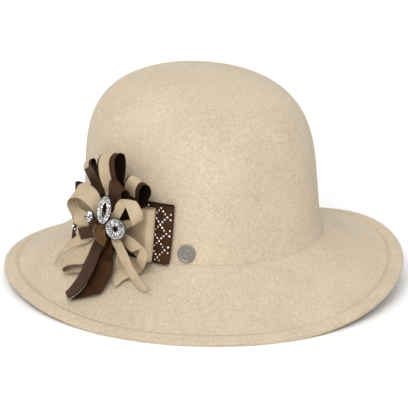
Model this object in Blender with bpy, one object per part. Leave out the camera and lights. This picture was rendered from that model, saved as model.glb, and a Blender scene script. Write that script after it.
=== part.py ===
"""Wool felt hat with a ribbon cockade, at its real size in metres.

+Z is up and the brim rests on z = 0. The wearer's face looks along -Y, and the cockade is on the
wearer's right, at -X. Angles run anticlockwise from +X, seen from above.
"""

import math

import bpy
import bmesh
import numpy as np

MM = 0.001
GAP = 0.3 * MM

# Felt crown. Half width and half length are the straight wall's, above the flare at its foot.
CROWN_HALF_WIDTH = 85.5 * MM
CROWN_HALF_LENGTH = 94.5 * MM
CROWN_HEIGHT = 121.0 * MM
CROWN_FLARE = 4.3 * MM
CROWN_LEAN_BACK = 6.0 * MM
FELT_WALL = 2.5 * MM
SHOULDER_POWER = 4.6
FULLNESS_POWER = 2.55
FLARE_POWER = 6
LEAN_POWER = 2
CROWN_COLUMNS = 48
CROWN_ROW_SHARES = (0.0, 0.06, 0.13, 0.22, 0.36, 0.50, 0.62, 0.72, 0.81, 0.88, 0.93, 0.965, 0.988)

# Felt brim, whose outline is the crown's, wider all round and set a little to the wearer's left.
SEAM_HEIGHT = 44.0 * MM
BRIM_WIDTH = 61.5 * MM
BRIM_SHIFT_LEFT = 5.0 * MM
BRIM_SHIFT_BACK = 4.5 * MM
BRIM_SWEEP_POWER = 1.35
HEM_WIDTH = 11.0 * MM
HEM_THICKNESS = 4.4 * MM
HEM_GROOVE = 0.5 * MM
REST_PRESS = 1.6 * MM
BRIM_COLUMNS = 60
BRIM_SLOPE_SHARES = (0.07, 0.2, 0.35, 0.5, 0.66)

# The brim's edge rises in two places: height, middle angle, spread before it and spread after it.
BRIM_LIFTS = (
    {"height": 22.0 * MM, "middle": -16.0, "before": 95.0, "after": 70.0},
    {"height": 7.5 * MM, "middle": 145.0, "before": 72.0, "after": 69.0},
)

# Ribbons. The cockade's own axes are side, towards the wearer's face, rise, which is up, and out.
RIBBON = 1.0 * MM
COCKADE_ANGLE = 188.0
COCKADE_HEIGHT = 23.0 * MM
COCKADE_REACH = 50.0 * MM
LAYER = RIBBON + GAP

BAND_HALF_LENGTH = 47.0 * MM
BAND_WIDTH = 44.0 * MM
BAND_DROP = 1.0 * MM
BAND_END_RADIUS = 2.4 * MM
BAND_STANDOFF_LEFT = 12.0 * MM
BAND_STANDOFF_RIGHT = 2.0 * MM
BAND_SIDE_SHIFT = 1.5 * MM
BAND_LOOP_COLUMNS = 13

BOW_HALF_LENGTH = 37.0 * MM
BOW_END_WIDTH = 40.0 * MM
BOW_PINCH_WIDTH = 13.0 * MM
BOW_END_RADIUS = 3.2 * MM
BOW_LOOP_COLUMNS = 11

KNOT_RADIUS = 6.2 * MM
KNOT_SIDE = 3.0 * MM
KNOT_FRONT = 23.2 * MM
KNOT_SIDES = 12
RIBBON_STEPS = 16
PINCH_SHARE = 0.5

WIDE_BROWN = 19.0 * MM
LOOP_BROWN = 17.0 * MM
SMALL_BROWN = 14.0 * MM
TAIL_BROWN_LEFT = 14.0 * MM
TAIL_BROWN_RIGHT = 16.0 * MM
END_BROWN = 9.0 * MM
BEIGE_FACING = 13.0 * MM
BEIGE_LOOP = 13.0 * MM
BEIGE_LOW_LOOP = 16.0 * MM
BEIGE_TAIL = 11.0 * MM

# Rhinestone rings and the badge
RING_THICKNESS = 2.0 * MM
RING_STONE_RISE = 0.7 * MM
OVAL_RING = (12.6 * MM, 5.2 * MM)
OVAL_HOLE = (6.2 * MM, 1.3 * MM)
ROUND_RING = 8.2 * MM
ROUND_HOLE = 1.8 * MM
SMALL_RING = 4.4 * MM
SMALL_HOLE = 1.2 * MM
BADGE_RADIUS = 6.8 * MM
BADGE_THICKNESS = 1.2 * MM
BADGE_ANGLE = -136.4
BADGE_HEIGHT = 7.2 * MM

# Each row of a ribbon: side, rise and out as shares of the cockade's reach, then the way in which
# the ribbon's width points, turned from side towards rise and leaned outwards, in degrees.
# "tie" and "back" are the places where its ends meet the knot: the angle round it and the height.
RIBBONS = {
    "right_loop": {
        "width": LOOP_BROWN, "colour": "brown", "tie": (48, 7.4 * MM), "back": (48, 6.1 * MM),
        "facing": (-2.0 * MM, 0.22, 0.82),
        "rows": (
            (0.40, 0.38, 0.16, -10, 5),
            (0.53, 0.59, 0.27, -10, 5),
            (0.61, 0.75, 0.33, -10, 5),
            (0.69, 0.86, 0.32, -10, 5),
            (0.71, 0.82, 0.22, -10, 5),
            (0.67, 0.69, 0.15, -10, 5),
            (0.57, 0.54, 0.12, -10, 5),
            (0.42, 0.37, 0.125, -10, 0),
        ),
    },
    "small_loop": {
        "width": SMALL_BROWN, "colour": "brown", "tie": (76, 13.6 * MM), "back": (70, 12.3 * MM),
        "rows": (
            (0.21, 0.31, 0.33, -15, 0),
            (0.33, 0.50, 0.40, -30, -12),
            (0.41, 0.65, 0.48, -30, -5),
            (0.46, 0.75, 0.52, -25, 0),
            (0.50, 0.79, 0.48, -25, 0),
            (0.55, 0.76, 0.45, -30, 0),
            (0.50, 0.62, 0.41, -35, -5),
            (0.30, 0.37, 0.31, -30, 0),
        ),
    },
    "top_loop": {
        "width": WIDE_BROWN, "colour": "brown", "tie": (90, 10.8 * MM), "back": (90, 9.4 * MM),
        "facing": (-2.6 * MM, 0.13, 0.86),
        "rows": (
            (0.09, 0.36, 0.24, 15, 0),
            (0.14, 0.53, 0.28, 15, 0),
            (0.20, 0.70, 0.39, 15, 0),
            (0.21, 0.88, 0.46, 15, 0),
            (0.19, 1.03, 0.46, 15, 0),
            (0.20, 1.13, 0.44, 15, 0),
            (0.22, 1.18, 0.38, 15, 0),
            (0.23, 1.14, 0.30, 15, 0),
            (0.20, 1.01, 0.24, 15, 0),
            (0.17, 0.85, 0.22, 15, 0),
            (0.13, 0.68, 0.21, 15, 0),
            (0.12, 0.49, 0.21, 15, 0),
        ),
    },
    "left_loop": {
        "width": LOOP_BROWN, "colour": "brown", "tie": (124, 7.8 * MM), "back": (124, 6.5 * MM),
        "facing": (-1.5 * MM, 0.38, 0.66),
        "rows": (
            (-0.21, 0.36, 0.155, 30, 0),
            (-0.25, 0.59, 0.25, 30, 15),
            (-0.24, 0.79, 0.37, 30, 20),
            (-0.30, 0.87, 0.38, 30, 20),
            (-0.33, 0.93, 0.33, 30, 20),
            (-0.37, 0.89, 0.22, 30, 20),
            (-0.41, 0.73, 0.14, 30, 20),
            (-0.33, 0.56, 0.12, 30, 12),
            (-0.21, 0.40, 0.15, 20, 0),
        ),
    },
    "upper_left_loop": {
        "width": BEIGE_LOOP, "colour": "beige", "tie": (142, 16.8 * MM), "back": (168, 13.5 * MM),
        "rows": (
            (-0.07, 0.35, 0.42, 80, -25),
            (-0.18, 0.46, 0.45, 80, -40),
            (-0.34, 0.50, 0.46, 80, -40),
            (-0.53, 0.43, 0.44, 80, -40),
            (-0.65, 0.29, 0.38, 80, -40),
            (-0.64, 0.15, 0.33, 80, -28),
            (-0.57, 0.00, 0.31, 80, -12),
        ),
    },
    "upper_right_loop": {
        "width": BEIGE_LOOP, "colour": "beige", "tie": (46, 17.3 * MM), "back": (4, 13.0 * MM),
        "rows": (
            (0.42, 0.35, 0.43, 20, 0),
            (0.53, 0.50, 0.45, 15, -5),
            (0.67, 0.58, 0.46, 5, -10),
            (0.80, 0.50, 0.49, 15, -10),
            (0.86, 0.41, 0.49, 30, -10),
            (0.84, 0.30, 0.44, 45, -10),
            (0.68, 0.20, 0.34, 35, -5),
        ),
    },
    "lower_left_loop": {
        "width": BEIGE_LOW_LOOP, "colour": "beige", "tie": (204, 11.2 * MM), "back": (212, 8.6 * MM),
        "rows": (
            (-0.26, -0.40, 0.37, -65, 15),
            (-0.37, -0.53, 0.46, -40, 30),
            (-0.56, -0.61, 0.48, -25, 35),
            (-0.65, -0.68, 0.53, -5, 40),
            (-0.74, -0.77, 0.52, 0, 40),
            (-0.71, -0.82, 0.50, 0, 40),
            (-0.57, -0.77, 0.47, -10, 40),
            (-0.39, -0.68, 0.42, -20, 30),
            (-0.22, -0.38, 0.26, -30, 10),
        ),
    },
    "lower_right_loop": {
        "width": BEIGE_TAIL, "colour": "beige", "tie": (318, 10.5 * MM), "back": (285, 7.3 * MM),
        "rows": (
            (0.51, -0.18, 0.27, 60, -5),
            (0.66, -0.21, 0.28, 40, 0),
            (0.80, -0.21, 0.29, -5, 10),
            (0.79, -0.34, 0.31, 0, 5),
            (0.60, -0.53, 0.23, -30, 10),
            (0.49, -0.60, 0.31, -35, 15),
            (0.40, -0.67, 0.38, -35, 20),
            (0.33, -0.76, 0.44, -35, 20),
            (0.28, -0.79, 0.43, -30, 25),
            (0.27, -0.63, 0.32, -25, 15),
            (0.22, -0.42, 0.20, -45, 0),
        ),
    },
    "beige_tail_left": {
        "width": BEIGE_TAIL, "colour": "beige", "tie": (196, 16.6 * MM),
        "rows": (
            (-0.27, -0.23, 0.41, 70, -10),
            (-0.57, -0.37, 0.37, 70, -10),
            (-0.82, -0.55, 0.39, 70, -10),
            (-1.01, -0.79, 0.43, 70, -10),
        ),
    },
    "beige_tail_right": {
        "width": BEIGE_TAIL, "colour": "beige", "tie": (310, 15.4 * MM),
        "rows": (
            (0.35, -0.20, 0.38, 15, 0),
            (0.44, -0.34, 0.37, 15, 0),
            (0.58, -0.51, 0.38, 15, 0),
            (0.75, -0.65, 0.39, 15, 0),
            (0.93, -0.80, 0.37, 15, 0),
        ),
    },
    "brown_tail_left": {
        "width": TAIL_BROWN_LEFT, "colour": "brown", "tie": (250, 16.6 * MM),
        "rows": (
            (-0.10, -0.37, 0.42, 15, 10),
            (-0.06, -0.53, 0.58, 15, 10),
            (-0.07, -0.73, 0.71, 15, 10),
            (-0.16, -0.93, 0.84, 15, 10),
            (-0.30, -1.07, 0.95, 15, 10),
        ),
    },
    "brown_tail_right": {
        "width": TAIL_BROWN_RIGHT, "colour": "brown", "tie": (268, 14.0 * MM),
        "rows": (
            (0.03, -0.41, 0.36, 0, -10),
            (0.17, -0.51, 0.49, 0, -10),
            (0.16, -0.71, 0.57, 0, -10),
            (0.12, -0.91, 0.71, 0, -10),
            (0.03, -1.07, 0.88, 0, -10),
        ),
    },
    "knot_end_side": {
        "width": END_BROWN, "colour": "brown",
        "rows": (
            (-0.04, -0.07, 0.48, -95, 0),
            (-0.21, -0.12, 0.48, -85, 0),
            (-0.39, -0.19, 0.47, -70, 0),
        ),
    },
    "knot_end_top": {
        "width": END_BROWN, "colour": "brown",
        "rows": (
            (-0.26, 0.12, 0.40, 20, -10),
            (-0.20, 0.05, 0.39, 20, -5),
            (-0.155, -0.02, 0.385, 20, 0),
        ),
    },
}

# Rings: the middle, the way that the long axis points and the way that the face looks
RINGS = {
    "oval_ring": {
        "middle": (0.222, 0.35, 0.525), "long": (9.0, 26.0, 3.0), "face": (0.5, -0.2, 0.84),
        "outer": OVAL_RING, "hole": OVAL_HOLE, "stones": 18,
    },
    "round_ring": {
        "middle": (0.38, 0.07, 0.452), "long": (0.0, 1.0, 0.0), "face": (0.35, 0.05, 0.93),
        "outer": (ROUND_RING, ROUND_RING), "hole": (ROUND_HOLE, ROUND_HOLE), "stones": 14,
    },
    "small_ring": {
        "middle": (-0.06, 0.18, 0.55), "long": (0.0, 1.0, 0.0), "face": (-0.3, 0.3, 0.9),
        "outer": (SMALL_RING, SMALL_RING), "hole": (SMALL_HOLE, SMALL_HOLE), "stones": 9,
    },
}

COLOURS = {
    "felt": ((0.67, 0.56, 0.41), 0.95, 0.0),
    "beige": ((0.55, 0.43, 0.28), 0.5, 0.0),
    "brown": ((0.055, 0.028, 0.017), 0.45, 0.0),
    "stone": ((0.75, 0.75, 0.73), 0.15, 0.6),
    "badge": ((0.27, 0.25, 0.22), 0.4, 1.0),
}


# Shapes of the hat

def crown_point(angle, share):
    """A point of the crown's outer face at a share of its height above the seam."""
    radius = max(0.0, 1.0 - share ** SHOULDER_POWER) ** (1.0 / FULLNESS_POWER)
    flare = CROWN_FLARE * (1.0 - share) ** FLARE_POWER
    lean = CROWN_LEAN_BACK * share ** LEAN_POWER
    turn = math.radians(angle)
    return np.array((
        (CROWN_HALF_WIDTH * radius + flare) * math.cos(turn),
        (CROWN_HALF_LENGTH * radius + flare) * math.sin(turn) + lean,
        SEAM_HEIGHT + GAP + CROWN_HEIGHT * share,
    ))


def crown_normal(angle, share):
    """The outward direction of the crown's outer face."""
    step = 1e-4
    along = crown_point(angle + 0.1, share) - crown_point(angle - 0.1, share)
    up = crown_point(angle, share + step) - crown_point(angle, max(share - step, 0.0))
    normal = np.cross(along, up)
    return normal / np.linalg.norm(normal)


def edge_height(angle):
    """Height of the underside of the brim's edge, pressed flat where it rests."""
    height = -REST_PRESS
    for lift in BRIM_LIFTS:
        off = (angle - lift["middle"] + 180.0) % 360.0 - 180.0
        spread = lift["before"] if off < 0.0 else lift["after"]
        near = min(abs(off) / spread, 1.0)
        height += lift["height"] * 0.5 * (1.0 + math.cos(math.pi * near))
    return height


def brim_middle(angle, share):
    """A point midway through the brim's felt, from the seam at 0 to the edge at 1."""
    turn = math.radians(angle)
    seam = np.array((
        (CROWN_HALF_WIDTH + CROWN_FLARE) * math.cos(turn),
        (CROWN_HALF_LENGTH + CROWN_FLARE) * math.sin(turn),
    ))
    edge = np.array((
        (CROWN_HALF_WIDTH + CROWN_FLARE + BRIM_WIDTH) * math.cos(turn) + BRIM_SHIFT_LEFT,
        (CROWN_HALF_LENGTH + CROWN_FLARE + BRIM_WIDTH) * math.sin(turn) + BRIM_SHIFT_BACK,
    ))
    flat = seam + (edge - seam) * share
    low = edge_height(angle) + HEM_THICKNESS / 2
    high = SEAM_HEIGHT - FELT_WALL / 2
    return np.array((*flat, low + (high - low) * (1.0 - share) ** BRIM_SWEEP_POWER))


def brim_normal(angle, share):
    """The upward direction of the brim's top face."""
    step = 0.002
    along = brim_middle(angle + 0.5, share) - brim_middle(angle - 0.5, share)
    out = brim_middle(angle, min(share + step, 1.0)) - brim_middle(angle, share - step)
    normal = np.cross(out, along)
    return normal / np.linalg.norm(normal)


def brim_section(angle):
    """One closed section through the brim: over the top, round the hem and back below."""
    seam = brim_middle(angle, 0.0)
    outward = np.array((math.cos(math.radians(angle)), math.sin(math.radians(angle)), 0.0))
    inner = seam - outward * FELT_WALL
    groove = 1.0 - HEM_WIDTH / BRIM_WIDTH
    hem_shares = (groove + 0.03, groove + 0.1, 0.985)
    rise = HEM_THICKNESS / 2
    felt = FELT_WALL / 2
    half = [(share, felt) for share in BRIM_SLOPE_SHARES]
    half += [(groove - 0.02, felt), (groove, felt - HEM_GROOVE)]
    half += [(share, rise) for share in hem_shares[:2]] + [(hem_shares[2], rise * 0.7)]
    top = [inner + (0.0, 0.0, felt), seam + (0.0, 0.0, felt)]
    below = [inner - (0.0, 0.0, felt), seam - outward * FELT_WALL / 2 - (0.0, 0.0, felt)]
    for share, thick in half:
        middle = brim_middle(angle, share)
        normal = brim_normal(angle, share)
        top.append(middle + normal * thick)
        if share != groove:
            below.append(middle - normal * thick)
    edge = brim_middle(angle, 1.0)
    points = np.array(top + [edge] + below[::-1])
    points[:, 2] = np.maximum(points[:, 2], 0.0)
    return points


# Places on the cockade

TURN = math.radians(COCKADE_ANGLE)
OUT = np.array((math.cos(TURN), math.sin(TURN), 0.0))
SIDE = np.array((-math.sin(TURN), math.cos(TURN), 0.0))
RISE = np.array((0.0, 0.0, 1.0))
COCKADE = crown_point(COCKADE_ANGLE, COCKADE_HEIGHT / CROWN_HEIGHT)


def place(side, rise, out):
    """A point given in the cockade's own axes."""
    return COCKADE + SIDE * side + RISE * rise + OUT * out


def crown_out(side, rise):
    """How far out the crown's face lies at a place in the cockade's axes."""
    share = min(max((rise + COCKADE_HEIGHT) / CROWN_HEIGHT, 0.0), 1.0)
    radius = (1.0 - share ** SHOULDER_POWER) ** (1.0 / FULLNESS_POWER)
    flare = CROWN_FLARE * (1.0 - share) ** FLARE_POWER
    half = np.array((CROWN_HALF_WIDTH * radius + flare, CROWN_HALF_LENGTH * radius + flare))
    middle = np.array((0.0, CROWN_LEAN_BACK * share ** LEAN_POWER))
    start = (COCKADE + SIDE * side)[:2] - middle
    ray = OUT[:2]
    a = np.sum((ray / half) ** 2)
    b = 2.0 * np.sum(start * ray / half ** 2)
    c = np.sum((start / half) ** 2) - 1.0
    return (-b + math.sqrt(b * b - 4.0 * a * c)) / (2.0 * a)


def smooth_rows(rows, steps):
    """Rows read at even steps from a smooth curve through the given rows."""
    rows = np.asarray(rows, float)
    ends = np.vstack((2 * rows[0] - rows[1], rows, 2 * rows[-1] - rows[-2]))
    result = []
    for step in range(steps + 1):
        place_on = step / steps * (len(rows) - 1)
        index = min(int(place_on), len(rows) - 2)
        f = place_on - index
        p0, p1, p2, p3 = ends[index:index + 4]
        result.append(0.5 * (2 * p1 + (p2 - p0) * f + (2 * p0 - 5 * p1 + 4 * p2 - p3) * f ** 2
                             + (3 * p1 - p0 - 3 * p2 + p3) * f ** 3))
    return np.array(result)


def width_direction(turn, lean):
    """A direction in the cockade's axes from its turn and its lean, in degrees."""
    turn, lean = math.radians(turn), math.radians(lean)
    return np.array((math.cos(lean) * math.cos(turn), math.cos(lean) * math.sin(turn), math.sin(lean)))


def knot_row(angle, height, like):
    """A row where a ribbon meets the knot, gathered to its narrow width."""
    turn = math.radians(angle)
    radius = KNOT_RADIUS + GAP
    across = np.array((-math.sin(turn), math.cos(turn), 0.0))
    if across @ like < 0.0:
        across = -across
    middle = (KNOT_SIDE + radius * math.cos(turn), radius * math.sin(turn), height)
    return (*middle, *across, PINCH_SHARE)


def ribbon_frames(spec):
    """Middle points, width directions, face directions and widths along a ribbon."""
    rows = []
    for side, rise, out, turn, lean in spec["rows"]:
        middle = np.array((side, rise, out)) * COCKADE_REACH
        rows.append((*middle, *width_direction(turn, lean), 1.0))
    if "tie" in spec:
        rows.insert(0, knot_row(*spec["tie"], np.array(rows[0][3:6])))
    if "back" in spec:
        rows.append(knot_row(*spec["back"], np.array(rows[-1][3:6])))
    rows = smooth_rows(rows, RIBBON_STEPS)
    middles = rows[:, :3]
    across = rows[:, 3:6] / np.linalg.norm(rows[:, 3:6], axis=1)[:, None]
    along = np.gradient(middles, axis=0)
    faces = np.cross(along, across)
    faces /= np.linalg.norm(faces, axis=1)[:, None]
    widths = spec["width"] * np.clip(rows[:, 6], PINCH_SHARE, 1.0)
    return middles, across, faces, widths


# Meshes

def closed_mesh(name, points, faces, material, smooth=True):
    """An object made from points and faces, with its faces turned outwards."""
    mesh = bpy.data.meshes.new(name)
    shape = bmesh.new()
    corners = [shape.verts.new(point) for point in points]
    for face in faces:
        shape.faces.new([corners[index] for index in face])
    bmesh.ops.recalc_face_normals(shape, faces=shape.faces)
    shape.to_mesh(mesh)
    shape.free()
    mesh.materials.append(material)
    if smooth:
        mesh.shade_smooth()
        mesh.set_sharp_from_angle(angle=math.radians(40))
    shown = bpy.data.objects.new(name, mesh)
    bpy.context.collection.objects.link(shown)
    return shown


def ring_faces(first, second, count):
    """Quads between two rings of points, given the index at which each ring starts."""
    return [(first + i, first + (i + 1) % count, second + (i + 1) % count, second + i)
            for i in range(count)]


def make_crown(material):
    """The dome: outer face, inner face, and the foot between them."""
    angles = [360.0 * i / CROWN_COLUMNS for i in range(CROWN_COLUMNS)]
    outer, inner = [], []
    for share in CROWN_ROW_SHARES:
        for angle in angles:
            point = crown_point(angle, share)
            within = point - crown_normal(angle, share) * FELT_WALL
            if share == 0.0:
                within[2] = point[2]
            outer.append(point)
            inner.append(within)
    top = crown_point(0.0, 1.0)
    points = outer + inner + [top, top - (0.0, 0.0, FELT_WALL)]
    rows = len(CROWN_ROW_SHARES)
    inside = rows * CROWN_COLUMNS
    faces = ring_faces(0, inside, CROWN_COLUMNS)
    for row in range(rows - 1):
        faces += ring_faces(row * CROWN_COLUMNS, (row + 1) * CROWN_COLUMNS, CROWN_COLUMNS)
        faces += ring_faces(inside + (row + 1) * CROWN_COLUMNS, inside + row * CROWN_COLUMNS, CROWN_COLUMNS)
    last = (rows - 1) * CROWN_COLUMNS
    for i in range(CROWN_COLUMNS):
        after = (i + 1) % CROWN_COLUMNS
        faces.append((last + i, last + after, 2 * inside))
        faces.append((inside + last + after, inside + last + i, 2 * inside + 1))
    return closed_mesh("crown", points, faces, material)


def make_brim(material):
    """The brim: one closed section carried round the seam's oval."""
    sections = [brim_section(360.0 * i / BRIM_COLUMNS) for i in range(BRIM_COLUMNS)]
    size = len(sections[0])
    faces = []
    for i in range(BRIM_COLUMNS):
        here, after = i * size, (i + 1) % BRIM_COLUMNS * size
        for j in range(size):
            faces.append((here + j, here + (j + 1) % size, after + (j + 1) % size, after + j))
    return closed_mesh("brim", np.concatenate(sections), faces, material)


def make_strip(name, middles, across, faces_out, low, high, shift, material):
    """A ribbon of even thickness: four corners at each step, closed at both ends."""
    points = []
    for i, middle in enumerate(middles):
        for reach, side in ((low[i], -0.5), (high[i], -0.5), (high[i], 0.5), (low[i], 0.5)):
            points.append(place(*(middle + across[i] * reach + faces_out[i] * (shift + side * RIBBON))))
    faces = [(0, 1, 2, 3), tuple(4 * (len(middles) - 1) + k for k in (3, 2, 1, 0))]
    for i in range(len(middles) - 1):
        faces += ring_faces(4 * i, 4 * (i + 1), 4)
    return closed_mesh(name, points, faces, material)


def make_ribbon(name, spec, materials):
    """A ribbon of the cockade, with its narrower facing ribbon where it has one."""
    middles, across, faces_out, widths = ribbon_frames(spec)
    material = materials[spec["colour"]]
    make_strip(name, middles, across, faces_out, -widths / 2, widths / 2, 0.0, material)
    if "facing" not in spec:
        return
    offset, start, end = spec["facing"]
    first, last = round(start * RIBBON_STEPS), round(end * RIBBON_STEPS) + 1
    part = slice(first, last)
    share = widths[part] / spec["width"]
    low = (offset - BEIGE_FACING / 2) * share
    high = (offset + BEIGE_FACING / 2) * share
    make_strip(name + "_facing", middles[part], across[part], faces_out[part], low, high, -LAYER,
               materials["beige"])


def flat_loop(half_length, end_radius, back, columns):
    """Centre line of a flat loop seen from above: side and out of its front, end, back and end."""
    straight = half_length - end_radius
    sides = [straight * (2.0 * i / (columns - 1) - 1.0) for i in range(columns)]

    def opening(side):
        return LAYER + (2.0 * end_radius - LAYER) * (abs(side) / straight) ** 2.5

    front = [(side, back(side) + opening(side)) for side in sides]
    behind = [(side, back(side)) for side in reversed(sides)]
    ends = []
    for sign in (1.0, -1.0):
        middle = back(sign * straight) + end_radius
        arc = []
        for quarter in (45.0, 90.0, 135.0):
            turn = math.radians(quarter)
            arc.append((sign * (straight + end_radius * math.sin(turn)),
                        middle + sign * end_radius * math.cos(turn)))
        ends.append(arc)
    return np.array(front + ends[0] + behind + ends[1])


def offset_loop(loop, distance):
    """The loop moved outwards by a distance."""
    along = np.roll(loop, -1, axis=0) - np.roll(loop, 1, axis=0)
    along /= np.linalg.norm(along, axis=1)[:, None]
    return loop + np.stack((-along[:, 1], along[:, 0]), axis=1) * distance


def make_flat_loop(name, loop, low, high, rows, material):
    """A flat closed ribbon loop that follows the crown, with its own width along its length."""
    count = len(loop)
    skins = [offset_loop(loop, RIBBON / 2), offset_loop(loop, -RIBBON / 2)]
    points = []
    for skin in skins:
        for row in range(rows):
            for i, (side, out) in enumerate(skin):
                rise = low(loop[i][0]) + (high(loop[i][0]) - low(loop[i][0])) * row / (rows - 1)
                points.append(place(side, rise, out + crown_out(side, rise)))
    inner = rows * count
    faces = []
    for row in range(rows - 1):
        faces += ring_faces(row * count, (row + 1) * count, count)
        faces += ring_faces(inner + (row + 1) * count, inner + row * count, count)
    faces += ring_faces(inner, 0, count)
    faces += ring_faces((rows - 1) * count, inner + (rows - 1) * count, count)
    return closed_mesh(name, points, faces, material)


def band_back(side):
    """Distance from the crown to the middle of the band's back layer."""
    share = abs(side - BAND_SIDE_SHIFT) / BAND_HALF_LENGTH
    standoff = BAND_STANDOFF_LEFT if side < BAND_SIDE_SHIFT else BAND_STANDOFF_RIGHT
    return GAP + RIBBON / 2 + standoff * share ** 2


def band_front(side):
    """Distance from the crown to the middle of the band's front layer."""
    straight = BAND_HALF_LENGTH - BAND_END_RADIUS
    share = min(abs(side - BAND_SIDE_SHIFT) / straight, 1.0)
    return band_back(side) + LAYER + (2.0 * BAND_END_RADIUS - LAYER) * share ** 2.5


def bow_back(side):
    """Distance from the crown to the middle of the wide bow's back layer."""
    share = min(abs(side) / BOW_HALF_LENGTH, 1.0)
    return band_front(side + BAND_SIDE_SHIFT) + LAYER + 2.0 * GAP * share ** 2


def bow_half_width(side):
    """Half of the wide bow's width, gathered at the knot and full at its ends."""
    share = min(abs(side - BAND_SIDE_SHIFT) / BOW_HALF_LENGTH, 1.0)
    return (BOW_PINCH_WIDTH + (BOW_END_WIDTH - BOW_PINCH_WIDTH) * (1.0 - (1.0 - share) ** 2)) / 2


def make_band(material):
    """The studded band: a flat loop against the crown. Its stones are too small to be solids."""
    loop = flat_loop(BAND_HALF_LENGTH, BAND_END_RADIUS, lambda side: band_back(side + BAND_SIDE_SHIFT),
                     BAND_LOOP_COLUMNS)
    loop[:, 0] += BAND_SIDE_SHIFT
    low = -BAND_WIDTH / 2 - BAND_DROP
    high = BAND_WIDTH / 2 - BAND_DROP
    return make_flat_loop("studded_band", loop, lambda side: low, lambda side: high, 4, material)


def make_bow(material):
    """The wide bow: a flat loop in front of the band, pinched at the knot."""
    loop = flat_loop(BOW_HALF_LENGTH, BOW_END_RADIUS, bow_back, BOW_LOOP_COLUMNS)
    loop[:, 0] += BAND_SIDE_SHIFT
    return make_flat_loop("wide_bow", loop, lambda side: -1.08 * bow_half_width(side),
                          lambda side: 0.92 * bow_half_width(side), 3, material)


def make_knot(material):
    """The knot: a short turned core with a rounded front, on the wide bow."""
    foot = max(band_front(side) + 2.0 * LAYER + crown_out(side, -KNOT_RADIUS)
               for side in (KNOT_SIDE - KNOT_RADIUS, KNOT_SIDE, KNOT_SIDE + KNOT_RADIUS))
    foot += RIBBON / 2 + 1.5 * GAP
    profile = ((1.0, foot), (1.0, KNOT_FRONT - 4.0 * MM), (0.88, KNOT_FRONT - 1.2 * MM), (0.6, KNOT_FRONT))
    points = []
    for share, out in profile:
        for i in range(KNOT_SIDES):
            turn = 2.0 * math.pi * i / KNOT_SIDES
            points.append(place(KNOT_SIDE + share * KNOT_RADIUS * math.cos(turn),
                                share * KNOT_RADIUS * math.sin(turn), out))
    faces = []
    for row in range(len(profile) - 1):
        faces += ring_faces(row * KNOT_SIDES, (row + 1) * KNOT_SIDES, KNOT_SIDES)
    faces.append(tuple(reversed(range(KNOT_SIDES))))
    faces.append(tuple(range((len(profile) - 1) * KNOT_SIDES, len(profile) * KNOT_SIDES)))
    return closed_mesh("knot", points, faces, material)


# Corners of a stone's girdle in its cell of the ring, and its table's share of the girdle
GIRDLE = ((0.3, 0.06), (0.7, 0.06), (0.94, 0.3), (0.94, 0.7),
          (0.7, 0.94), (0.3, 0.94), (0.06, 0.7), (0.06, 0.3))
TABLE_SHARE = 0.55


def make_stone_ring(name, spec, material):
    """A flat ring with one row of eight-sided cut stones, each with its table, in one body."""
    face = np.array(spec["face"]) / np.linalg.norm(spec["face"])
    long = np.array(spec["long"]) - face * (np.array(spec["long"]) @ face)
    long /= np.linalg.norm(long)
    wide = np.cross(long, face)
    middle = np.array(spec["middle"]) * COCKADE_REACH
    count = spec["stones"]
    points, faces = [], []

    def add(x, y, z):
        points.append(place(*(middle + long * x + wide * y + face * z)))
        return len(points) - 1

    half = RING_THICKNESS / 2
    rims = {}
    for level, z in (("front", half), ("back", -half)):
        for edge in ("outer", "hole"):
            size = spec[edge]
            rims[level, edge] = [add(size[0] * math.cos(2 * math.pi * i / count),
                                     size[1] * math.sin(2 * math.pi * i / count), z) for i in range(count)]
    flat = {edge: [(spec[edge][0] * math.cos(2 * math.pi * i / count),
                    spec[edge][1] * math.sin(2 * math.pi * i / count)) for i in range(count)]
            for edge in ("outer", "hole")}
    for i in range(count):
        after = (i + 1) % count
        faces.append((rims["front", "outer"][i], rims["front", "outer"][after],
                      rims["back", "outer"][after], rims["back", "outer"][i]))
        faces.append((rims["front", "hole"][after], rims["front", "hole"][i],
                      rims["back", "hole"][i], rims["back", "hole"][after]))
        faces.append((rims["back", "outer"][i], rims["back", "outer"][after],
                      rims["back", "hole"][after], rims["back", "hole"][i]))
        corners = (flat["hole"][i], flat["outer"][i], flat["outer"][after], flat["hole"][after])
        keys = (rims["front", "hole"][i], rims["front", "outer"][i],
                rims["front", "outer"][after], rims["front", "hole"][after])
        stone = []
        for p, q in GIRDLE:
            near = np.array(corners[0]) * (1 - p) + np.array(corners[1]) * p
            far = np.array(corners[3]) * (1 - p) + np.array(corners[2]) * p
            stone.append(near * (1 - q) + far * q)
        centre = sum(stone) / len(stone)
        girdle = [add(x, y, half) for x, y in stone]
        table = [add(*(centre + (spot - centre) * TABLE_SHARE), half + RING_STONE_RISE) for spot in stone]
        for k in range(4):
            following = (k + 1) % 4
            faces.append((keys[k], keys[following], girdle[2 * k + 1], girdle[2 * k]))
            faces.append((keys[following], girdle[(2 * k + 2) % 8], girdle[2 * k + 1]))
        for k in range(8):
            faces.append((girdle[k], girdle[(k + 1) % 8], table[(k + 1) % 8], table[k]))
        faces.append(tuple(table))
    return closed_mesh(name, points, faces, material, smooth=False)


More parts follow.
